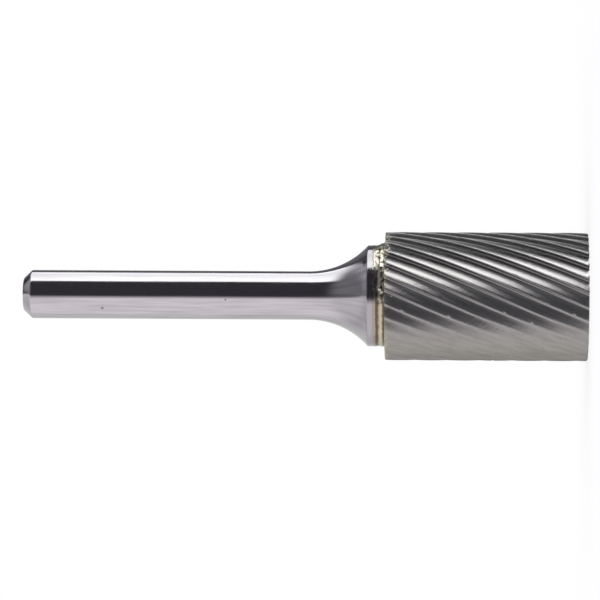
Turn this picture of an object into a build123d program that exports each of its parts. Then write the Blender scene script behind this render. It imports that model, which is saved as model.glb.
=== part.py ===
"""Cylindrical single-cut carbide burr: a fluted carbide head brazed to a turned steel shank.

Millimetres. The burr stands on the flat front end of its head: the origin is the centre
of that face, and +Z runs up the axis to the end of the shank. Seen from above, it turns
clockwise as it cuts, and its cutting edges wind up the head as right-hand helices.
"""

from build123d import *

import os
from math import degrees, pi, radians, sqrt, tan

# Whole burr
overall_length = 70.0

# Carbide head
head_diameter = 15.9  # over the cutting edges
head_length = 25.0
tooth_count = 28
helix_angle = 24.0  # between a cutting edge and the axis
rake_angle = 3.0  # how far the cutting face leans in under its edge
tooth_depth = 0.67  # down to where the face and the back of the next tooth would meet
tooth_land = 0.12  # the strip of full diameter behind each edge
relief_angle = 26.5  # how steeply the back of the tooth first falls away from its land
relief_width = 0.68  # of the outer facet of the back
gullet_chamfer = 0.26  # blunts the bottom of the gullet

# Steel shank
shank_diameter = 6.0
tip_diameter = 4.0  # flat end face, inside the chamfer
tip_length = 1.05
neck_radius = 10.0  # concave sweep from the shank out to the collar
collar_diameter = 12.5
collar_width = 0.95
collar_chamfer = 1.05  # makes room for the braze

# Braze between them
braze_gap = 0.15
braze_diameter = 13.4  # where the fillet runs out on the back of the head
braze_fillet_radius = 2.0

# What follows from them
head_radius = head_diameter / 2
shank_radius = shank_diameter / 2
collar_radius = collar_diameter / 2
neck_rise = collar_radius - shank_radius
collar_front = head_length + braze_gap
collar_start = collar_front + collar_chamfer
collar_end = collar_start + collar_width
neck_end = collar_end + sqrt(neck_rise * (2 * neck_radius - neck_rise))
joint_rim = (collar_radius - collar_chamfer, collar_front)
collar_rim = (collar_radius, collar_start)


def write(piece, name):
    """Labels a finished piece and writes it to its own file."""
    piece.part.label = name
    export_step(piece.part, f"parts/{name}.step")


os.makedirs("parts", exist_ok=True)

# Shank: turned in one piece, from the joint face through the collar and neck to the tip.
with BuildPart() as shank:
    with BuildSketch(Plane.XZ):
        with BuildLine():
            Polyline((0, collar_front), joint_rim, collar_rim, (collar_radius, collar_end))
            RadiusArc((collar_radius, collar_end), (shank_radius, neck_end), neck_radius)
            Polyline(
                (shank_radius, neck_end),
                (shank_radius, overall_length - tip_length),
                (tip_diameter / 2, overall_length),
                (0, overall_length),
                (0, collar_front),
            )
        make_face()
    revolve(axis=Axis.Z)
write(shank, "shank")

# Braze: the film in the joint, and the fillet that it leaves round the collar.
with BuildPart() as braze:
    with BuildSketch(Plane.XZ):
        with BuildLine():
            Polyline(
                collar_rim,
                joint_rim,
                (0, collar_front),
                (0, head_length),
                (braze_diameter / 2, head_length),
            )
            RadiusArc((braze_diameter / 2, head_length), collar_rim, braze_fillet_radius)
        make_face()
    revolve(axis=Axis.Z)
write(braze, "braze")

# Head: its section is a ring of equal slices. A slice runs from the axis out to the bottom
# of one gullet, up the cutting face to the edge, along the land, down the two facets of
# the back to the bottom of the next gullet, and home. The section is then swept up the
# axis, and a helix through the cutting edge turns it as it goes.
edge = Vector(head_radius, 0)
root = edge + Vector(-tooth_depth, tooth_depth * tan(radians(rake_angle)))
next_root = root.rotate(Axis.Z, 360 / tooth_count)
land_angle = degrees(tooth_land / head_radius)
heel = edge.rotate(Axis.Z, land_angle)
ridge = heel + Vector(0, relief_width).rotate(Axis.Z, land_angle + relief_angle)
with BuildPart() as head:
    with BuildSketch() as section:
        with PolarLocations(0, tooth_count):
            Polygon((0, 0), root, edge, heel, ridge, next_root, align=None)
        roots = section.vertices().sort_by_distance((0, 0))[:tooth_count]
        chamfer(roots, gullet_chamfer)
    with BuildLine() as axis:
        Line((0, 0, 0), (0, 0, head_length))
    with BuildLine() as cutting_edge:
        Helix(pi * head_diameter / tan(radians(helix_angle)), head_length, head_radius)
    sweep(path=axis.wire(), binormal=cutting_edge.wire())
write(head, "head")
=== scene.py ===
"""Finish, studio and camera for a cylindrical carbide burr.

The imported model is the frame: the burr stands on the flat end of its head, with +Z up
its axis. The three pieces of the model are redrawn here as finer surfaces of the same
form, with the rounding, wear and finish of the real one. Sizes are in millimetres and
angles in degrees until a mesh or the camera is made.
"""

import logging
import math
from dataclasses import dataclass
from enum import Enum
from functools import partial

import bmesh
import bpy
import numpy as np
from bpy.types import Material, NodeOutputs, NodeSocket, NodeTree, Object, World
from mathutils import Matrix, Vector

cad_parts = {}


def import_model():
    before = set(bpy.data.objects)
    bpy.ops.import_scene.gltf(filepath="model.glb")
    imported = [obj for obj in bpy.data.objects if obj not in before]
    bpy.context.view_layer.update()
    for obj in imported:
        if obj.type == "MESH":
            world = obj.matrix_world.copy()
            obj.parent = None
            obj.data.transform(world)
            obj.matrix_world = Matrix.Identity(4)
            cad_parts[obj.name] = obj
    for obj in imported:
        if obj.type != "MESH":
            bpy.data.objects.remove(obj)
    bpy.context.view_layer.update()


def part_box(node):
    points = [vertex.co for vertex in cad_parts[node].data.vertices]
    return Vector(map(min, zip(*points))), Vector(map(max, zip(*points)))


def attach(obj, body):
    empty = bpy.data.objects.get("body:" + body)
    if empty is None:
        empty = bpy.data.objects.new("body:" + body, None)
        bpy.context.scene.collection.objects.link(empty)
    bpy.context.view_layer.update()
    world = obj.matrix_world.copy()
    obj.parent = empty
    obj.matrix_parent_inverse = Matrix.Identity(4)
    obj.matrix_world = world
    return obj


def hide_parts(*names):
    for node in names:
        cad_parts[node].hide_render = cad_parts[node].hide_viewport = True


log = logging.getLogger("burr")

MM = 0.001
TURN = 2 * math.pi
NOISE_MEAN = 0.5
WHITE = "#ffffff"
EASED = {"interpolation_type": "SMOOTHSTEP"}
A, B, MIXED = 6, 7, 2  # the Mix node's colours, which share their names with other sockets
BODY = "root"
UV_LAYER = "surface_mm"
EDGE_MARK = "cutting_edge"


class Slot(Enum):
    """The record's material slots."""

    STEEL = "turned_steel"
    BRAZE = "brazing_alloy"
    CARBIDE = "ground_carbide"


class Tone(Enum):
    """What the studio is made of, as linear red, green and blue."""

    FLOOR = (0.9, 0.89, 0.905)
    DARK = (0.042, 0.040, 0.047)
    DIM = (0.2, 0.2, 0.212)
    SOFT = (1.0, 1.045, 1.02)


FLOOR, DARK, DIM, SOFT = Tone

# ---- small tools


def linear(colour: str) -> tuple[float, ...]:
    """Turns an sRGB hex colour into linear red, green, blue and alpha.

    Args:
        colour: The colour, such as "#a0b0c0".

    Returns:
        Four linear values, with an alpha of 1.
    """
    channels = [int(colour[i : i + 2], 16) / 255 for i in (1, 3, 5)]
    low = [c / 12.92 for c in channels]
    high = [((c + 0.055) / 1.055) ** 2.4 for c in channels]
    return (*[a if c <= 0.04045 else b for c, a, b in zip(channels, low, high)], 1.0)


def add_node(
    tree: NodeTree, kind: str, inputs: dict | None = None, **settings: object
) -> NodeOutputs:
    """Adds one shader node, with its settings and what goes into it.

    Args:
        tree: The node tree that gets the node.
        kind: The node's Blender type name, without ShaderNode before it.
        inputs: Input name or number to a value, or to the socket that feeds it.
        **settings: Properties of the node itself.

    Returns:
        The new node's outputs.
    """
    node = tree.nodes.new(f"ShaderNode{kind}")
    for name, value in settings.items():
        setattr(node, name, value)
    for name, value in (inputs or {}).items():
        if isinstance(value, NodeSocket):
            tree.links.new(value, node.inputs[name])
        else:
            node.inputs[name].default_value = value
    return node.outputs


def new_tree(owner: Material | World) -> NodeTree:
    """Switches on a material's or a world's nodes, and empties them.

    Args:
        owner: The material or world.

    Returns:
        Its node tree.
    """
    owner.use_nodes = True
    owner.node_tree.nodes.clear()
    return owner.node_tree


def arc(centre: complex, start: complex, end: complex, count: int) -> np.ndarray:
    """Points along the shorter arc round a centre.

    The angle goes evenly from the start's to the end's, and the radius with it.

    Args:
        centre: The arc's centre, as x + iy.
        start: Where the arc starts.
        end: Where the arc ends.
        count: How many points, both ends included.

    Returns:
        The points as complex numbers.
    """
    first, last = start - centre, end - centre
    turn = np.angle(last / first)
    share = np.linspace(0.0, 1.0, count)
    radius = abs(first) + (abs(last) - abs(first)) * share
    return centre + radius * np.exp(1j * (np.angle(first) + turn * share))


def rounded(points: list[complex], radii: list[float], count: int) -> np.ndarray:
    """A run of straight lines with its inner corners rounded.

    Each corner gives way to the arc that touches both of its lines, which starts and
    ends at the radius divided by the tangent of half the corner's angle.

    Args:
        points: The corners, as r + iz, with the two ends.
        radii: A radius for each inner corner, or 0 to leave it sharp.
        count: Points along each arc.

    Returns:
        The whole run as complex numbers.
    """
    run = [np.array([points[0]])]
    for before, corner, after, radius in zip(points, points[1:], points[2:], radii):
        if radius == 0:
            run.append(np.array([corner]))
            continue
        back = (before - corner) / abs(before - corner)
        on = (after - corner) / abs(after - corner)
        half = abs(np.angle(on / back)) / 2
        reach = radius / math.tan(half)
        middle = (back + on) / abs(back + on) * (radius / math.sin(half))
        run.append(arc(corner + middle, corner + back * reach, corner + on * reach, count))
    run.append(np.array([points[-1]]))
    return np.concatenate(run)


def spread(run: np.ndarray, step: float) -> np.ndarray:
    """Adds points to a run, evenly in each gap, so that no gap is longer than a step.

    Args:
        run: The points as complex numbers.
        step: The longest gap to leave.

    Returns:
        The run with the points added.
    """
    parts = [
        a + (b - a) * np.linspace(0, 1, max(1, math.ceil(abs(b - a) / step)), endpoint=False)
        for a, b in zip(run, run[1:])
    ]
    return np.concatenate([*parts, run[-1:]])


def closed_surface(name: str, rings: np.ndarray, uv: np.ndarray, sharp: float) -> Object:
    """Makes a closed mesh from rings of points stacked one on another.

    Neighbouring rings are joined by quads, each ring closes on itself, and a flat face
    closes the first ring and the last. Rings run anticlockwise seen from above and are
    stacked upwards, so every face points outwards.

    Args:
        name: The piece's name.
        rings: Points in millimetres, as (ring, point, xyz).
        uv: Places on the surface in millimetres, as (ring, point + 1, uv). The two
            flat ends take x and y instead.
        sharp: Edges that turn by more than this angle stay sharp.

    Returns:
        The new object, linked to the scene, in metres.
    """
    rows, columns = rings.shape[:2]
    i, j = np.meshgrid(np.arange(rows - 1), np.arange(columns), indexing="ij")
    here, after = i * columns + j, i * columns + (j + 1) % columns
    quads = np.stack([here, after, after + columns, here + columns], -1).reshape(-1, 4)
    bottom = np.arange(columns)[::-1]
    top = np.arange(columns) + (rows - 1) * columns
    points = rings.reshape(-1, 3)
    mesh = bpy.data.meshes.new(name)
    mesh.from_pydata(points * MM, [], [*quads.tolist(), bottom.tolist(), top.tolist()])
    corners = np.stack([uv[i, j], uv[i, j + 1], uv[i + 1, j + 1], uv[i + 1, j]], -2)
    flat = points[np.concatenate([bottom, top])][:, :2]
    layer = mesh.uv_layers.new(name=UV_LAYER)
    layer.data.foreach_set("uv", np.concatenate([corners.reshape(-1, 2), flat]).ravel())
    mesh.shade_smooth()
    mesh.set_sharp_from_angle(angle=math.radians(sharp))
    mesh.validate()
    piece = bpy.data.objects.new(name, mesh)
    bpy.context.scene.collection.objects.link(piece)
    return piece


def turned(profile: np.ndarray, radius: float, columns: int) -> tuple[np.ndarray, np.ndarray]:
    """Rings and surface places of a profile turned about the axis.

    A point (r, z) of the profile at angle a goes to (r cos a, r sin a, z). On the
    surface it lies at the given radius times a, and at its height z.

    Args:
        profile: The points, as r + iz, from the bottom up.
        radius: The radius that distances round the surface are measured at.
        columns: Points round each ring.

    Returns:
        The rings as (ring, point, xyz), and their places as (ring, point + 1, uv).
    """
    angle = np.linspace(0, TURN, columns + 1)
    points = profile.real[:, None] * np.exp(1j * angle[None, :-1])
    height = profile.imag[:, None]
    rings = np.stack(np.broadcast_arrays(points.real, points.imag, height), -1)
    places = np.stack(np.broadcast_arrays(radius * angle[None, :], height), -1)
    return rings, places


def finish_piece(piece: Object, node: str, material: Material) -> None:
    """Dresses a piece and ties it to the frame.

    Args:
        piece: The piece.
        node: The node of the model that it stands for.
        material: Its finish.
    """
    piece.data.materials.append(material)
    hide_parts(node)
    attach(piece, BODY)
    log.info("%s: %d faces in %s", piece.name, len(piece.data.polygons), material.name)


# ---- finishes


@dataclass(frozen=True)
class PolishedSteel:
    """Hardened tool steel, ground between centres and polished.

    It mirrors the studio in clean bands. The grinding lines run round it, so they
    smear what it mirrors along the axis only. Sliding in and out of a collet has left
    faint streaks along it, and there are a few pits. Its tip was only turned, and is
    duller, and the heat of brazing has dulled and browned its collar.
    """

    colour: str = "#d2cdd2"
    streak: str = "#bab4bb"
    pit: str = "#8f858a"
    heat: str = "#b8b3b7"
    scale: str = "#a99e98"
    heat_limits: tuple = (27.4, 27.1)  # heights, from none to full
    scale_limits: tuple = (26.8, 26.2)
    roughness: float = 0.1
    streak_roughness: float = 0.24
    tip_roughness: float = 0.17
    tip_start: float = 68.9
    tip_fade: float = 0.1
    smear: float = 0.6
    smear_turn: float = 0.25  # of a turn, from round the axis to along it
    line_spacing: float = 0.12  # real grinding lines are too fine to show
    line_length: float = 25.0
    line_height: float = 0.0006
    line_grain: tuple = (3.0, 0.5)  # the noise's detail and roughness
    streak_width: float = 0.35
    streak_length: float = 9.0
    streak_grain: tuple = (4.0, 0.6)
    streak_limits: tuple = (0.4, 0.75)  # of the noise
    shank_radius: float = 3.0
    pit_core: float = 0.4  # how much of a pit's radius is full colour
    pits: tuple = (  # angle about the axis, height and radius
        (-126.8, 60.0, 0.25),
        (-103.4, 44.7, 0.16),
        (12.0, 57.0, 0.15),
        (95.0, 49.0, 0.12),
    )

    def material(self) -> Material:
        """Builds the material.

        Returns:
            The material. Its patterns read the places on the surface, and where they
            stop reads object coordinates.
        """
        made = bpy.data.materials.new("polished_tool_steel")
        add = partial(add_node, new_tree(made))
        place = add("UVMap", uv_map=UV_LAYER)[0]
        level = add("SeparateXYZ", {0: add("TexCoord")["Object"]})["Z"]
        lines, rubbed = [
            add(
                "TexNoise",
                {
                    "Vector": add(
                        "Mapping", {"Vector": place, "Scale": (1 / across, 1 / along, 1)}
                    )[0],
                    "Scale": 1.0,
                    "Detail": detail,
                    "Roughness": roughness,
                },
            )["Fac"]
            for across, along, (detail, roughness) in (
                (self.line_length, self.line_spacing, self.line_grain),
                (self.streak_width, self.streak_length, self.streak_grain),
            )
        ]
        bump = add("Bump", {"Height": lines, "Distance": self.line_height * MM, "Strength": 1.0})
        low, high = (self.tip_start - self.tip_fade) * MM, (self.tip_start + self.tip_fade) * MM
        gripped = add("MapRange", {"Value": level, "From Min": high, "From Max": low})[0]
        start, full = self.streak_limits
        streaks = {"Value": rubbed, "From Min": start, "From Max": full, "To Max": gripped}
        streaked = add("MapRange", streaks)[0]
        fades = []
        for bearing, height, radius in self.pits:
            centre = (math.radians(bearing % 360) * self.shank_radius, height, 0)
            away = add("VectorMath", {0: place, 1: centre}, operation="DISTANCE")["Value"]
            fades.append((away, radius, radius * self.pit_core, self.pit))
        for (top, bottom), tint in ((self.heat_limits, self.heat), (self.scale_limits, self.scale)):
            fades.append((level, top * MM, bottom * MM, tint))
        layers = [(streaked, self.streak)]
        for value, start, full, tint in fades:
            fade = {"Value": value, "From Min": start, "From Max": full}
            layers.append((add("MapRange", fade, **EASED)[0], tint))
        colour = linear(self.colour)
        for share, tint in layers:
            mixed = {"Factor": share, A: colour, B: linear(tint)}
            colour = add("Mix", mixed, data_type="RGBA")[MIXED]
        dulled = {"Value": streaked, "To Min": self.roughness, "To Max": self.streak_roughness}
        tip = {"Value": level, "From Min": low, "From Max": high, "To Max": self.tip_roughness}
        surface = add(
            "BsdfPrincipled",
            {
                "Base Color": colour,
                "Metallic": 1.0,
                "Roughness": add("MapRange", {**tip, "To Min": add("MapRange", dulled)[0]})[0],
                "Anisotropic": self.smear,
                "Anisotropic Rotation": self.smear_turn,
                "Normal": bump[0],
                "Tangent": add("Tangent", direction_type="RADIAL", axis="Z")[0],
            },
        )
        add("OutputMaterial", {"Surface": surface[0]})
        return made


@dataclass(frozen=True)
class BrazingAlloy:
    """Silver brazing alloy as it flowed and froze: pale gold, with a painted reflection of dark
    brown bands at its edges.

    On the smooth fillet its colour is a painted reflection up its height: two dark brown bands with
    pale gold between. Where it ran rough, olive scorch marks lie between bright lumps, and its thin
    skin is greyer.
    """

    colour: str = "#d9cdb9"
    silver: str = "#dcd3c8"
    skin: str = "#a0998e"
    painted_dark_band: str = "#6f6250"
    scorched: str = "#706a48"
    roughness: float = 0.2
    bottom: float = 25.0
    top: float = 26.25
    rough_bearing: float = -35.0  # the middle of the stretch that ran rough
    rough_limits: tuple = (2.2, 4.4)  # how far out that way it starts and is full
    smooth_wander: float = 0.25  # of how far the painted reflection bands wander where it is rough
    patch: float = 0.55
    patch_detail: float = 3.0
    scorch_limits: tuple = (0.47, 0.6)  # of the noise
    skin_limits: tuple = (0.75, 1.0)  # of the way up the fillet
    painted_bands: tuple = (  # also of the way up the fillet: the painted reflection bands
        (0.0, painted_dark_band),
        (0.16, painted_dark_band),
        (0.34, colour),
        (0.52, colour),
        (0.66, painted_dark_band),
        (0.86, painted_dark_band),
        (1.0, colour),
    )

    def material(self) -> Material:
        """Builds the material.

        Returns:
            The material, which reads object coordinates.
        """
        made = bpy.data.materials.new("silver_brazing_alloy")
        add = partial(add_node, new_tree(made))
        place = add("TexCoord")["Object"]
        middle = math.radians(self.rough_bearing)
        towards = (math.cos(middle), math.sin(middle), 0)
        around = add("VectorMath", {0: place, 1: towards}, operation="DOT_PRODUCT")["Value"]
        grain = {"Scale": 1 / (self.patch * MM), "Detail": self.patch_detail}
        patches = add("TexNoise", {"Vector": place, **grain})["Fac"]
        start, full = self.rough_limits
        stretch = {"Value": around, "From Min": start * MM, "From Max": full * MM}
        rough = add("MapRange", stretch, **EASED)[0]
        height = add("SeparateXYZ", {0: place})["Z"]
        rise = {"Value": height, "From Min": self.bottom * MM, "From Max": self.top * MM}
        drift = {
            0: add("Math", {0: patches, 1: -NOISE_MEAN}, operation="ADD")[0],
            1: add("MapRange", {"Value": rough, "To Min": self.smooth_wander})[0],
            2: add("MapRange", rise)[0],
        }
        level = add("Math", drift, operation="MULTIPLY_ADD")[0]
        # painted reflection: dark brown and pale gold bands up the fillet's height
        painted_bands = add("ValToRGB", {"Fac": level})["Color"]
        elements = painted_bands.node.color_ramp.elements
        while len(elements) < len(self.painted_bands):
            elements.new(0.5)
        for element, (position, colour) in zip(elements, self.painted_bands):
            element.position = position
            element.color = linear(colour)
        colour = linear(self.silver)
        for value, (start, full), tint in (
            (patches, self.scorch_limits, self.scorched),
            (level, self.skin_limits, self.skin),
        ):
            fade = {"Value": value, "From Min": start, "From Max": full}
            mixed = {"Factor": add("MapRange", fade, **EASED)[0], A: colour, B: linear(tint)}
            colour = add("Mix", mixed, data_type="RGBA")[MIXED]
        # where it ran smooth, the painted reflection bands; where it ran rough, its own tints
        either = add("Mix", {"Factor": rough, A: painted_bands, B: colour}, data_type="RGBA")[MIXED]
        metal = {"Base Color": either, "Metallic": 1.0, "Roughness": self.roughness}
        add("OutputMaterial", {"Surface": add("BsdfPrincipled", metal)[0]})
        return made


@dataclass(frozen=True)
class GroundCarbide:
    """Cobalt-bonded tungsten carbide, ground with a diamond wheel and left as ground.

    It is a darker, warmer grey than steel. The wheel left fine lines that cross every
    flute at a slant. They blur what it mirrors and hatch the edges of the bright bands.
    The cutting edges, ground last and finest, mirror more sharply, and their lighter colour is a
    painted highlight. At the back a little braze has smeared over it.
    """

    colour: str = "#a8a6a5"
    stain: str = "#93918f"
    roughness: float = 0.35
    line_spacing: float = 0.22  # real grinding lines are too fine to show
    line_length: float = 1.1
    line_slant: float = -64.0  # from the axis
    line_height: float = 0.028
    line_grain: tuple = (2.0, 0.5)  # the noise's detail and roughness
    stain_width: float = 0.5
    stain_length: float = 4.0
    stain_grain: tuple = (4.0, 0.6)
    stain_limits: tuple = (0.4, 0.75)  # of the noise
    # painted highlight along the cutting edges
    edge: str = "#e2e3e8"
    edge_roughness: float = 0.2
    smear: str = "#b9b5aa"
    smear_roughness: float = 0.42
    smear_patch: float = 0.3
    smear_detail: float = 3.0
    smear_limits: tuple = (0.65, 0.74)
    smear_start: float = 24.1
    back: float = 25.0
    back_gain: float = 0.3  # added to the smears' noise at the back

    def material(self) -> Material:
        """Builds the material.

        Returns:
            The material. Its lines and stains read the places on the surface, its
            edges a mark on the mesh, and its smears object coordinates.
        """
        made = bpy.data.materials.new("ground_tungsten_carbide")
        add = partial(add_node, new_tree(made))
        place = add("UVMap", uv_map=UV_LAYER)[0]
        slant = {"Vector": place, "Angle": math.radians(self.line_slant)}
        slanted = add("VectorRotate", slant, rotation_type="Z_AXIS")[0]
        lines, stains = [
            add(
                "TexNoise",
                {
                    "Vector": add(
                        "Mapping", {"Vector": vector, "Scale": (1 / across, 1 / along, 1)}
                    )[0],
                    "Scale": 1.0,
                    "Detail": detail,
                    "Roughness": roughness,
                },
            )["Fac"]
            for vector, across, along, (detail, roughness) in (
                (slanted, self.line_spacing, self.line_length, self.line_grain),
                (place, self.stain_width, self.stain_length, self.stain_grain),
            )
        ]
        bump = add("Bump", {"Height": lines, "Distance": self.line_height * MM, "Strength": 1.0})
        towards_back = {
            "Value": add("SeparateXYZ", {0: place})["Y"],
            "From Min": self.smear_start,
            "From Max": self.back,
            "To Max": self.back_gain,
        }
        patches = {
            "Vector": add("TexCoord")["Object"],
            "Scale": 1 / (self.smear_patch * MM),
            "Detail": self.smear_detail,
        }
        both = {0: add("TexNoise", patches)["Fac"], 1: add("MapRange", towards_back)[0]}
        either = add("Math", both, operation="ADD")[0]
        stained, smeared = [
            add("MapRange", {"Value": value, "From Min": start, "From Max": full}, **ease)[0]
            for value, (start, full), ease in (
                (stains, self.stain_limits, {}),
                (either, self.smear_limits, EASED),
            )
        ]
        edge = add("Attribute", attribute_name=EDGE_MARK)["Fac"]
        colour = linear(self.colour)
        # the edge tint is a painted highlight; the stains and the smears are the carbide's own
        for share, tint in ((stained, self.stain), (edge, self.edge), (smeared, self.smear)):
            mixed = {"Factor": share, A: colour, B: linear(tint)}
            colour = add("Mix", mixed, data_type="RGBA")[MIXED]
        dullness = self.roughness
        for share, limit in ((edge, self.edge_roughness), (smeared, self.smear_roughness)):
            dulled = {"Value": share, "To Min": dullness, "To Max": limit}
            dullness = add("MapRange", dulled)[0]
        surface = add(
            "BsdfPrincipled",
            {"Base Color": colour, "Metallic": 1.0, "Roughness": dullness, "Normal": bump[0]},
        )
        add("OutputMaterial", {"Surface": surface[0]})
        return made


# ---- pieces


@dataclass
class Shank:
    """The turned shank: joint face, collar, concave neck, cylinder and chamfered tip."""

    top: float
    front: float
    radius: float = 3.0
    tip_radius: float = 2.0
    tip_length: float = 1.05
    tip_rounding: float = 0.35
    tip_points: int = 7
    centre_mark: float = 0.15  # the small disc that closes the tip
    neck_radius: float = 10.0
    neck_points: int = 48
    neck_taken: int = 3  # points of it that the collar's rounding replaces
    collar_radius: float = 6.25
    collar_width: float = 0.95
    collar_chamfer: float = 1.05
    collar_rounding: float = 0.22
    collar_points: int = 6
    longest_gap: float = 0.8
    sharp_angle: float = 25.0
    columns: int = 240

    def profile(self) -> np.ndarray:
        """The outline: straight lines between rounded corners, and a hollow neck.

        The neck is an arc that leaves the cylinder without a corner and ends where it
        is as wide as the collar.

        Returns:
            The points as r + iz, from the joint face up to the tip.
        """
        collar_start = self.front + self.collar_chamfer
        collar_end = collar_start + self.collar_width
        rise = self.collar_radius - self.radius
        neck_end = collar_end + math.sqrt(rise * (2 * self.neck_radius - rise))
        neck = arc(
            complex(self.radius + self.neck_radius, neck_end),
            complex(self.collar_radius, collar_end),
            complex(self.radius, neck_end),
            self.neck_points,
        )
        lower = rounded(
            [
                complex(self.collar_radius - self.collar_chamfer, self.front),
                complex(self.collar_radius, collar_start),
                neck[0],
                neck[1],
            ],
            [0.0, self.collar_rounding],
            self.collar_points,
        )
        upper = rounded(
            [
                neck[-1],
                complex(self.radius, self.top - self.tip_length),
                complex(self.tip_radius, self.top),
                complex(self.centre_mark, self.top),
            ],
            [self.tip_rounding, self.tip_rounding],
            self.tip_points,
        )
        run = np.concatenate([lower[:-1], neck[self.neck_taken : -1], upper])
        return spread(run, self.longest_gap)

    def build(self, finish: PolishedSteel) -> Object:
        """Makes and dresses the shank.

        On the end of the tip, places run on inwards from its rim.

        Args:
            finish: The steel's finish.

        Returns:
            The piece.
        """
        profile = self.profile()
        rings, places = turned(profile, self.radius, self.columns)
        inwards = np.clip(self.tip_radius - profile.real, 0, None)
        places = places + inwards[:, None, None] * (0, 1)
        piece = closed_surface("turned_shank", rings, places, self.sharp_angle)
        finish_piece(piece, "shank", finish.material())
        return piece


@dataclass
class Braze:
    """The braze: a film in the joint and the fillet that it left round the collar.

    Most of the fillet froze as a smooth bead, and one stretch of it ran rough.
    """

    bottom: float
    film: float = 0.15
    foot_radius: float = 6.68
    collar_radius: float = 6.25
    chamfer: float = 1.05
    fillet_radius: float = 2.5
    bead: float = 0.07
    bead_start: float = 0.12  # of the way up the fillet, as its width is
    bead_width: float = 0.6
    thin_bearing: float = 177.0  # where the fillet is thinnest
    thinning: float = 0.36
    rough_bearing: float = -35.0
    rough_half_width: float = 75.0
    rough_core: float = 1.4  # above 1, so that the middle is rough all over
    lumps: int = 110
    lump_reach: float = 1.25  # of the rough stretch's half width
    lump_widths: tuple = (0.09, 0.24)
    lump_heights: tuple = (-0.25, 0.6)  # of a lump's width
    lump_fade: float = 0.125  # of the way up the fillet, at either end
    skin: float = 0.03
    skin_steps: tuple = (0.5, 0.9)  # of its climb
    creep: float = 0.32  # how far the rough stretch climbs the collar
    least_creep: float = 0.02
    creep_margin: float = 0.6
    creep_mean: float = 0.75
    creep_swing: float = 1.2
    creep_limits: tuple = (0.1, 1.3)
    creep_waves: tuple = (7, 60, 4)  # how many go round: from, to and step
    sharp_angle: float = 60.0
    columns: int = 600
    rows: int = 30
    seed: int = 5

    def ran_rough(self, turn: np.ndarray) -> np.ndarray:
        """How rough the braze ran at each angle: from 1 in the rough stretch down to 0."""
        away = abs(np.angle(np.exp(1j * (turn - math.radians(self.rough_bearing)))))
        return np.clip(self.rough_core - away / math.radians(self.rough_half_width), 0, 1)

    def lumpiness(self, along: np.ndarray, turn: np.ndarray) -> np.ndarray:
        """How far the rough braze stands out, over a grid.

        Each lump is a height times exp(-(distance / width) squared).

        Args:
            along: Distance along the fillet, in millimetres.
            turn: Angle about the axis, in radians.

        Returns:
            Millimetres for every (along, turn).
        """
        rng = np.random.default_rng(self.seed)
        reach = math.radians(self.rough_half_width) * self.lump_reach
        place = math.radians(self.rough_bearing) + rng.uniform(-reach, reach, self.lumps)
        level = rng.uniform(0.0, along[-1], self.lumps)
        width = rng.uniform(*self.lump_widths, self.lumps)
        height = width * rng.uniform(*self.lump_heights, self.lumps) * self.ran_rough(place)
        gap = np.angle(np.exp(1j * (turn[None, :, None] - place))) * self.collar_radius
        distance = np.hypot(gap, along[:, None, None] - level)
        return (height * np.exp(-((distance / width) ** 2))).sum(-1)

    def fringe(self, turn: np.ndarray) -> np.ndarray:
        """How far up the collar a thin skin of braze climbs.

        It is the creep, times how rough the braze ran, times a mean of waves, and next
        to nothing where the braze ran smooth.

        Args:
            turn: Angle about the axis, in radians.

        Returns:
            Millimetres for every angle.
        """
        rng = np.random.default_rng(self.seed + 1)
        waves = np.arange(*self.creep_waves)
        phase = rng.uniform(0, TURN, len(waves))
        ripple = np.cos(waves * turn[:, None] + phase).sum(-1) / len(waves)
        rough = np.clip((1 + self.creep_margin) * self.ran_rough(turn) - self.creep_margin, 0, 1)
        wave = np.clip(self.creep_mean + self.creep_swing * ripple, *self.creep_limits)
        return self.least_creep + self.creep * rough * wave

    def build(self, finish: BrazingAlloy) -> Object:
        """Makes and dresses the braze.

        The fillet is a hollow arc from the head to the collar. The bead stands out from
        it by a sine squared over its width, and the lumps stand out on top of that. Where
        it is thin its foot is drawn in, by twice the cosine of the angle away, less 1. From
        the fillet's rim a skin climbs the collar and thins out to nothing.

        Args:
            finish: The alloy's finish.

        Returns:
            The piece.
        """
        foot = complex(self.foot_radius, self.bottom)
        rim = complex(self.collar_radius, self.bottom + self.film + self.chamfer)
        middle, half = (foot + rim) / 2, abs(rim - foot) / 2
        outwards = (rim - foot) / abs(rim - foot) * -1j
        centre = middle + outwards * math.sqrt(self.fillet_radius**2 - half**2)
        fillet = arc(centre, foot, rim, self.rows)
        along = np.concatenate([[0], np.cumsum(abs(np.diff(fillet)))])
        share = along / along[-1]
        turn = np.linspace(0, TURN, self.columns, endpoint=False)
        on_bead = np.clip((share - self.bead_start) / self.bead_width, 0, 1)
        bead = self.bead * np.sin(np.pi * on_bead) ** 2
        ends = np.minimum(1, np.minimum(share, 1 - share) / self.lump_fade)
        rise = bead[:, None] + self.lumpiness(along, turn) * ends[:, None]
        out = (centre - fillet) / abs(centre - fillet)
        nearness = np.clip(2 * np.cos(turn - math.radians(self.thin_bearing)) - 1, 0, 1)
        thin = nearness * self.thinning
        climb = self.fringe(turn) * 1j
        inside = complex(self.collar_radius - self.chamfer, self.bottom + self.film)
        surface = np.concatenate(
            [
                fillet[:, None] + out[:, None] * rise - (1 - share[:, None]) * thin,
                [rim + self.skin + climb * step for step in self.skin_steps],
                [rim + climb, rim + 0 * climb, np.full(self.columns, inside)],
            ]
        )
        flat = surface.real * np.exp(1j * turn)
        rings = np.stack([flat.real, flat.imag, surface.imag], -1)
        around = np.linspace(0, TURN * self.collar_radius, self.columns + 1)
        up = np.append(surface.imag, surface.imag[:, :1], axis=1)
        places = np.stack(np.broadcast_arrays(around[None, :], up), -1)
        piece = closed_surface("brazed_joint", rings, places, self.sharp_angle)
        finish_piece(piece, "braze", finish.material())
        return piece


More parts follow.
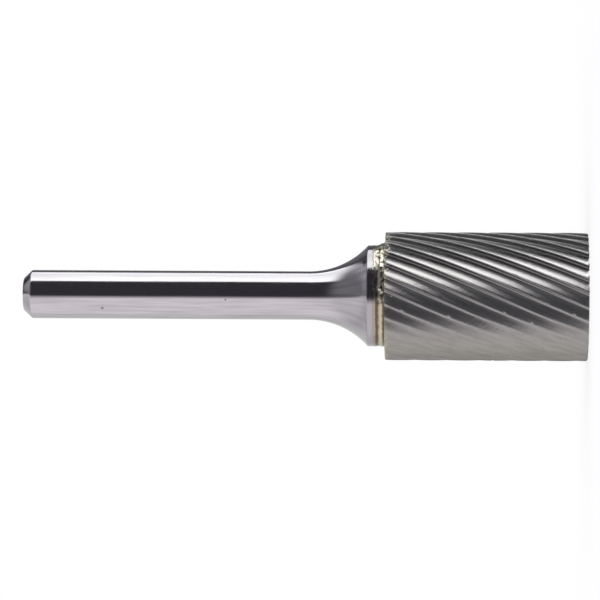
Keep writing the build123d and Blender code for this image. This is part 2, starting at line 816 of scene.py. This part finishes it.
@dataclass
class Spatter:
    """Beads of braze that spat from the rough stretch and froze on the head's back rim."""

    radius: float
    top: float
    bearing: float = -40.0
    spread: float = 26.0
    count: int = 26
    sizes: tuple = (0.05, 0.13)
    inset: tuple = (0.02, 0.3)  # from the head's radius to a bead's centre
    sunk: float = 0.02  # how far the highest bead lies below the rim
    fall: float = 0.8  # how much further down the lowest one is
    flattening: float = 0.45
    subdivisions: int = 2
    seed: int = 3

    def build(self, finish: BrazingAlloy) -> Object:
        """Makes and dresses the beads.

        Each bead is a ball, flattened towards the axis and half sunk in the head. They
        thin out with distance from the rim, by the square of an even spread.

        Args:
            finish: The alloy's finish.

        Returns:
            The piece, with every bead in it.
        """
        ball = bmesh.new()
        bmesh.ops.create_icosphere(ball, subdivisions=self.subdivisions, radius=1.0)
        points = np.array([vertex.co for vertex in ball.verts])
        faces = np.array([[vertex.index for vertex in face.verts] for face in ball.faces])
        ball.free()
        rng = np.random.default_rng(self.seed)
        turn = np.radians(self.bearing + rng.normal(0, self.spread, self.count))
        size = rng.uniform(*self.sizes, self.count)
        centre = (self.radius - rng.uniform(*self.inset, self.count)) * np.exp(1j * turn)
        height = self.top - size - self.sunk - self.fall * rng.uniform(0, 1, self.count) ** 2
        middle = np.stack([centre.real, centre.imag, height], -1)
        outwards = np.stack([np.cos(turn), np.sin(turn), 0 * turn], -1)
        depth = (points @ outwards.T).T[..., None]
        balls = points - self.flattening * depth * outwards[:, None, :]
        balls = balls * size[:, None, None] + middle[:, None, :]
        index = faces[None] + np.arange(self.count)[:, None, None] * len(points)
        mesh = bpy.data.meshes.new("braze_spatter")
        mesh.from_pydata(balls.reshape(-1, 3) * MM, [], index.reshape(-1, 3).tolist())
        mesh.shade_smooth()
        piece = bpy.data.objects.new("braze_spatter", mesh)
        bpy.context.scene.collection.objects.link(piece)
        finish_piece(piece, "braze", finish.material())
        return piece


@dataclass
class Head:
    """The fluted head: one tooth section, repeated round the axis and twisted up it."""

    radius: float
    length: float
    teeth: int = 28
    helix_angle: float = 24.0
    rake_angle: float = 0.5
    land: float = 0.09
    land_points: int = 3
    relief_angle: float = 30.2  # how steeply the back of a tooth falls away
    back_radius: float = 12.5  # of its crown
    back_points: int = 5
    gullet_radius: float = 0.28
    gullet_points: int = 6
    edge_radius: float = 0.07
    edge_points: int = 6
    edge_mark: float = 0.05  # how far the edge's painted highlight and smoother finish reach
    front_break: float = 0.16
    rear_break: float = 0.12
    break_rows: int = 3
    rows: int = 196
    chips: tuple = (  # height and bearing from the front
        (18.17, 0.1),
        (17.07, -15.8),
        (10.26, -12.8),
        (6.97, -21.9),
        (4.93, -3.7),
        (1.76, -13.4),
        (19.22, 58.4),
        (16.04, 69.1),
        (7.2, 67.4),
    )
    chip_depth: float = 0.15
    chip_length: float = 0.13
    chip_on_face: float = 0.12  # how far down the cutting face a chip reaches
    chip_on_back: float = 0.2  # how far over the land and the back it reaches
    front_bearing: float = -92.5
    stray_chips: int = 46
    stray_margin: float = 0.5  # from either end of the head
    stray_depths: tuple = (0.03, 0.12)
    stray_lengths: tuple = (0.1, 0.25)
    sharp_angle: float = 50.0
    seed: int = 11

    def tooth_space(self) -> np.ndarray:
        """One pitch of the section, from a cutting edge to just before the next.

        The next cutting edge lies on the x axis. The back is a flat arc from the heel of
        the land to where it would meet the next cutting face, and the gullet is the
        circle that touches that arc and the cutting face. The edge is the circle that
        touches the cutting face and, from inside, the outer cylinder.

        Returns:
            The points as x + iy.
        """
        pitch = TURN / self.teeth
        tip = complex(self.radius, 0)
        face = complex(-1, math.tan(math.radians(self.rake_angle)))
        face /= abs(face)
        into_gullet = face * 1j
        heel_turn = self.land / self.radius - pitch
        heel = self.radius * np.exp(1j * heel_turn)
        fall = 1j * np.exp(1j * (heel_turn + math.radians(self.relief_angle)))
        run = ((heel - tip) * fall.conjugate()).imag / (face * fall.conjugate()).imag
        foot = tip + face * run
        half = abs(foot - heel) / 2
        inwards = (foot - heel) / abs(foot - heel) * 1j
        back_centre = (foot + heel) / 2 + inwards * math.sqrt(self.back_radius**2 - half**2)

        def touching(centre: complex, reach: float, offset: complex) -> complex:
            """Where the cutting face's line, moved aside, is at a distance from a centre.

            It solves abs(tip + s face + offset - centre) = reach for the lower s.

            Args:
                centre: The centre.
                reach: The distance from it.
                offset: How the line is moved aside.

            Returns:
                The point.
            """
            start = tip + offset - centre
            b = (start.conjugate() * face).real
            return tip + offset + face * (-b - math.sqrt(b * b - abs(start) ** 2 + reach**2))

        gullet = touching(
            back_centre, self.back_radius + self.gullet_radius, into_gullet * self.gullet_radius
        )
        edge = touching(0, self.radius - self.edge_radius, -into_gullet * self.edge_radius)
        to_gullet = gullet - back_centre
        back_end = back_centre + to_gullet * self.back_radius / abs(to_gullet)
        face_start = gullet - into_gullet * self.gullet_radius
        face_end = edge + into_gullet * self.edge_radius
        land_start = edge * self.radius / abs(edge)
        return np.concatenate(
            [
                arc(0, land_start * np.exp(-1j * pitch), heel, self.land_points)[:-1],
                arc(back_centre, heel, back_end, self.back_points)[:-1],
                arc(gullet, back_end, face_start, self.gullet_points)[:-1],
                [face_start],
                arc(edge, face_end, land_start, self.edge_points)[:-1],
            ]
        )

    def chipping(self, height: np.ndarray) -> np.ndarray:
        """How deep each cutting edge is chipped at each height.

        Each chip is a depth times exp(-(distance / length) squared), on the edge that
        is nearest to its place.

        Args:
            height: The heights of the rings.

        Returns:
            Millimetres for every (ring, tooth).
        """
        rng = np.random.default_rng(self.seed)
        known = np.array(self.chips)
        strays, count = self.stray_chips, len(self.chips)
        stray_level = rng.uniform(self.stray_margin, self.length - self.stray_margin, strays)
        level = np.concatenate([known[:, 0], stray_level])
        known_turn = np.radians(known[:, 1] + self.front_bearing)
        turn = np.concatenate([known_turn, rng.uniform(0, TURN, strays)])
        stray_depth = rng.uniform(*self.stray_depths, strays)
        depth = np.concatenate([np.full(count, self.chip_depth), stray_depth])
        stray_length = rng.uniform(*self.stray_lengths, strays)
        length = np.concatenate([np.full(count, self.chip_length), stray_length])
        pitches = (turn - self.twist(level)) / (TURN / self.teeth)
        tooth = np.round(pitches).astype(int) % self.teeth
        each = depth * np.exp(-(((height[:, None] - level) / length) ** 2))
        return each @ (tooth[:, None] == np.arange(self.teeth))

    def twist(self, height: np.ndarray) -> np.ndarray:
        """How far the section has turned at a height: its tangent rises at the helix angle."""
        return height * math.tan(math.radians(self.helix_angle)) / self.radius

    def build(self, finish: GroundCarbide) -> Object:
        """Makes and dresses the head.

        The section at height z is turned by z times the tangent of the helix angle over
        the radius. Near the ends it is cut back to a cone, and at a chip its edge is
        drawn in, by less the further a point is from the edge. A mark on the mesh, which
        places the painted edge highlight, is 1 on the rounded edge and falls to nothing beside it.

        Args:
            finish: The carbide's finish.

        Returns:
            The piece.
        """
        pitch = TURN / self.teeth
        last_edge = np.exp(-1j * pitch)
        space = self.tooth_space()
        tooth = np.arange(self.teeth)
        section = space * np.exp(1j * pitch * (1 + tooth))[:, None]
        rear = self.length - self.rear_break
        height = np.concatenate(
            [
                np.linspace(0, self.front_break, self.break_rows)[:-1],
                np.linspace(self.front_break, rear, self.rows),
                np.linspace(rear, self.length, self.break_rows)[1:],
            ]
        )
        wear = self.chipping(height)
        to_next, to_last = abs(space - self.radius), abs(space - self.radius * last_edge)
        on_face = np.exp(-((to_next / self.chip_on_face) ** 2))
        on_back = np.exp(-((to_last / self.chip_on_back) ** 2))
        drawn = wear[:, (tooth + 1) % self.teeth, None] * on_face + wear[:, tooth, None] * on_back
        inset = np.maximum(0, np.maximum(self.front_break - height, height - rear))
        reach = np.minimum(abs(section) - drawn, self.radius - inset[:, None, None])
        turned_by = np.exp(1j * self.twist(height))[:, None, None]
        ring = (section / abs(section) * reach * turned_by).reshape(len(height), -1)
        up = np.broadcast_to(height[:, None], ring.shape)
        rings = np.stack([ring.real, ring.imag, up], -1)
        flat = np.append(section.ravel(), section[0, 0])
        across = np.concatenate([[0], np.cumsum(abs(np.diff(flat)))])
        places = np.stack(np.broadcast_arrays(across[None, :], height[:, None]), -1)
        piece = closed_surface("fluted_head", rings, places, self.sharp_angle)
        corner = self.radius - self.edge_radius / 2
        to_corner = np.minimum(abs(space - corner), abs(space - corner * last_edge))
        edge = np.exp(-((to_corner / self.edge_mark) ** 2))
        # the mark places the painted edge highlight and the edge's lower roughness
        mark = piece.data.attributes.new(EDGE_MARK, "FLOAT", "POINT")
        mark.data.foreach_set("value", np.tile(edge, self.teeth * len(height)))
        finish_piece(piece, "head", finish.material())
        return piece


# ---- studio


@dataclass(frozen=True)
class Stop:
    """One stop of a ring of cards: an angle, a tone, how strong it is and a cast over it."""

    angle: float
    tone: Tone
    strength: float = 1.0
    cast: str = WHITE

    def colour(self) -> tuple[float, ...]:
        """The tone times the cast times the strength, with an alpha of 1."""
        return (*[a * b * self.strength for a, b in zip(self.tone.value, linear(self.cast))], 1.0)


@dataclass
class Studio:
    """The camera, the floor and the light.

    The burr stands, and the camera looks at it across its axis, turned on its side, so
    that the shank points left in the picture. The studio's own directions are front,
    from the burr to the camera, top, which is up in the picture, and left, which is up
    the burr's axis.

    Metal mirrors four rings of cards round the axis. Each runs by angle from the front
    over the top, from -180 to 180. Which one is seen goes by how far up the axis the
    mirrored direction points, from -1 to 1, and each fade says where one takes over.
    """

    bearing: float = -2.54  # of the camera about the axis, from -Y
    distance: float = 450.0
    lift: float = 2.7  # how far the view slopes up the axis
    roll: float = 0.31
    aim_height: float = 35.61
    aim_drop: float = 0.56
    frame_width: float = 74.5  # what the picture takes in at that distance
    floor_half: float = 3000.0
    floor_grey: float = 0.35
    floor_glow: float = 0.65
    up_fade: tuple = (0.42, 0.73)  # from beside to beyond
    down_fade: tuple = (0.02, -0.12)  # from those two to ahead and below
    far_fade: tuple = (-0.4, -0.5)  # from ahead to below
    beside: tuple = (
        Stop(-180, FLOOR, 0.78, "#fafff8"),
        Stop(-136, FLOOR, 0.78, "#fafff8"),
        Stop(-112, FLOOR, 0.86),
        Stop(-96, FLOOR),
        Stop(-20, FLOOR),
        Stop(-5, DARK),
        Stop(66, DARK),
        Stop(68, SOFT, 1.75),
        Stop(81, SOFT, 1.75),
        Stop(104, SOFT, 1.28),
        Stop(129, SOFT, 1.65),
        Stop(131, DARK, 1.5),
        Stop(152, DIM, 0.8),
        Stop(180, DIM, 1.1),
    )
    beyond: tuple = (
        Stop(-180, FLOOR, 0.9),
        Stop(-150, FLOOR, 0.78),
        Stop(-120, FLOOR, 0.55),
        Stop(-98, FLOOR, 0.72),
        Stop(-60, FLOOR, 0.8),
        Stop(-14, FLOOR, 0.8),
        Stop(-7, DIM, 0.7),
        Stop(2, DIM, 0.7),
        Stop(10, DIM),
        Stop(60, DIM),
        Stop(75, DIM, 0.9),
        Stop(98, DIM, 1.25),
        Stop(112, DIM, 1.9),
        Stop(130, DIM, 2.4),
        Stop(133, DARK, 0.2),
        Stop(158, DARK, 0.3),
        Stop(168, DIM, 0.8),
        Stop(180, DIM, 1.1),
    )
    ahead: tuple = (
        Stop(-180, FLOOR, 0.3),
        Stop(-140, FLOOR, 0.4),
        Stop(-122, FLOOR, 0.72, "#fffdf8"),
        Stop(-105, FLOOR, 0.72, "#fffdf4"),
        Stop(-88, FLOOR, 0.75, "#fffcf1"),
        Stop(-75, FLOOR, 0.95, "#fffcf1"),
        Stop(-13, FLOOR, 1.2, "#fffafd"),
        Stop(-11, DARK, 1.95, "#f2f8ff"),
        Stop(70, DARK, 1.95, "#eef5ff"),
        Stop(72, SOFT, 3.65, "#fff9fc"),
        Stop(119.5, SOFT, 3.6, "#fdf9ff"),
        Stop(123.5, DIM, 1.18, "#e9edff"),
        Stop(180, DIM, 1.17, "#eff2ff"),
    )
    below: tuple = (
        Stop(-180, FLOOR, 0.5),
        Stop(-60, FLOOR, 0.8),
        Stop(-16, FLOOR, 0.8),
        Stop(-6, DIM, 0.9),
        Stop(180, DIM, 0.9),
    )

    def axes(self) -> tuple[Vector, Vector, Vector]:
        """Front, top and left as unit vectors."""
        turn = Matrix.Rotation(math.radians(self.bearing), 3, "Z")
        return turn @ Vector((0, -1, 0)), turn @ Vector((1, 0, 0)), Vector((0, 0, 1))

    def camera(self) -> None:
        """Makes the camera."""
        front, top, left = self.axes()
        slope = math.radians(self.lift)
        back = front * math.cos(slope) - left * math.sin(slope)
        right = -left * math.cos(slope) - front * math.sin(slope)
        roll = math.radians(self.roll)
        right_rolled = right * math.cos(roll) + top * math.sin(roll)
        top_rolled = top * math.cos(roll) - right * math.sin(roll)
        aim = left * self.aim_height - top * self.aim_drop
        place = (aim + back * self.distance) * MM
        data = bpy.data.cameras.new("camera")
        data.lens = data.sensor_width * self.distance / self.frame_width
        camera = bpy.data.objects.new("camera", data)
        basis = Matrix((right_rolled, top_rolled, back)).transposed()
        camera.matrix_world = Matrix.Translation(place) @ basis.to_4x4()
        bpy.context.scene.collection.objects.link(camera)
        bpy.context.scene.camera = camera

    def world(self) -> None:
        """Lights the scene: even white light, and rings of cards for what metal mirrors."""
        world = bpy.data.worlds.new("studio")
        bpy.context.scene.world = world
        world.cycles.sampling_method = "NONE"
        add = partial(add_node, new_tree(world))
        view = add("TexCoord")["Generated"]
        front, top, left = [
            add("VectorMath", {0: view, 1: axis}, operation="DOT_PRODUCT")["Value"]
            for axis in self.axes()
        ]
        angle = add("Math", {0: top, 1: front}, operation="ARCTAN2")[0]
        share = add("MapRange", {"Value": angle, "From Min": -math.pi, "From Max": math.pi})[0]
        rings = []
        for stops in (self.beside, self.beyond, self.ahead, self.below):
            ring = add("ValToRGB", {"Fac": share})["Color"]
            elements = ring.node.color_ramp.elements
            while len(elements) < len(stops):
                elements.new(0.5)
            for element, stop in zip(elements, stops):
                element.position = (stop.angle + 180) / 360
                element.color = stop.colour()
            rings.append(ring)
        up, down, far_down = [
            add("MapRange", {"Value": left, "From Min": start, "From Max": full}, **EASED)[0]
            for start, full in (self.up_fade, self.down_fade, self.far_fade)
        ]
        beside, beyond, ahead, below = rings
        left_half, right_half = [
            add("Mix", {"Factor": fade, A: near, B: far}, data_type="RGBA")[MIXED]
            for fade, near, far in ((up, beside, beyond), (far_down, ahead, below))
        ]
        cards = add("Mix", {"Factor": down, A: left_half, B: right_half}, data_type="RGBA")[MIXED]
        mirrored = add("LightPath")["Is Glossy Ray"]
        seen = add("Mix", {"Factor": mirrored, A: linear(WHITE), B: cards}, data_type="RGBA")[MIXED]
        add("OutputWorld", {"Surface": add("Background", {"Color": seen, "Strength": 1.0})[0]})

    def floor(self) -> None:
        """Lays the pale floor under the burr. It can't be seen from below."""
        half = self.floor_half * MM
        corners = [(-half, -half, 0), (half, -half, 0), (half, half, 0), (-half, half, 0)]
        mesh = bpy.data.meshes.new("floor")
        mesh.from_pydata(corners, [], [(0, 1, 2, 3)])
        floor = bpy.data.objects.new("floor", mesh)
        bpy.context.scene.collection.objects.link(floor)
        floor.visible_glossy = False
        material = bpy.data.materials.new("pale_floor")
        add = partial(add_node, new_tree(material))
        grey = (self.floor_grey, self.floor_grey, self.floor_grey, 1)
        matt = add("BsdfDiffuse", {"Color": grey})[0]
        glow = add("Emission", {"Color": linear(WHITE), "Strength": self.floor_glow})[0]
        above = add("AddShader", {0: matt, 1: glow})[0]
        side = add("NewGeometry")["Backfacing"]
        surface = add("MixShader", {0: side, 1: above, 2: add("BsdfTransparent")[0]})
        add("OutputMaterial", {"Surface": surface[0]})
        mesh.materials.append(material)


def main() -> None:
    """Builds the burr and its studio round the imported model."""
    logging.basicConfig(level=logging.INFO, format="%(name)s: %(message)s")
    bpy.context.scene.view_settings.view_transform = "Standard"
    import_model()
    head_low, head_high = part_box("head")
    shank_low, shank_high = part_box("shank")
    Head(radius=head_high[0] / MM, length=head_high[2] / MM).build(GroundCarbide())
    Braze(bottom=head_high[2] / MM).build(BrazingAlloy())
    Spatter(radius=head_high[0] / MM, top=head_high[2] / MM).build(BrazingAlloy())
    Shank(top=shank_high[2] / MM, front=shank_low[2] / MM).build(PolishedSteel())
    studio = Studio()
    studio.camera()
    studio.world()
    studio.floor()


if __name__ == "__main__":
    main()
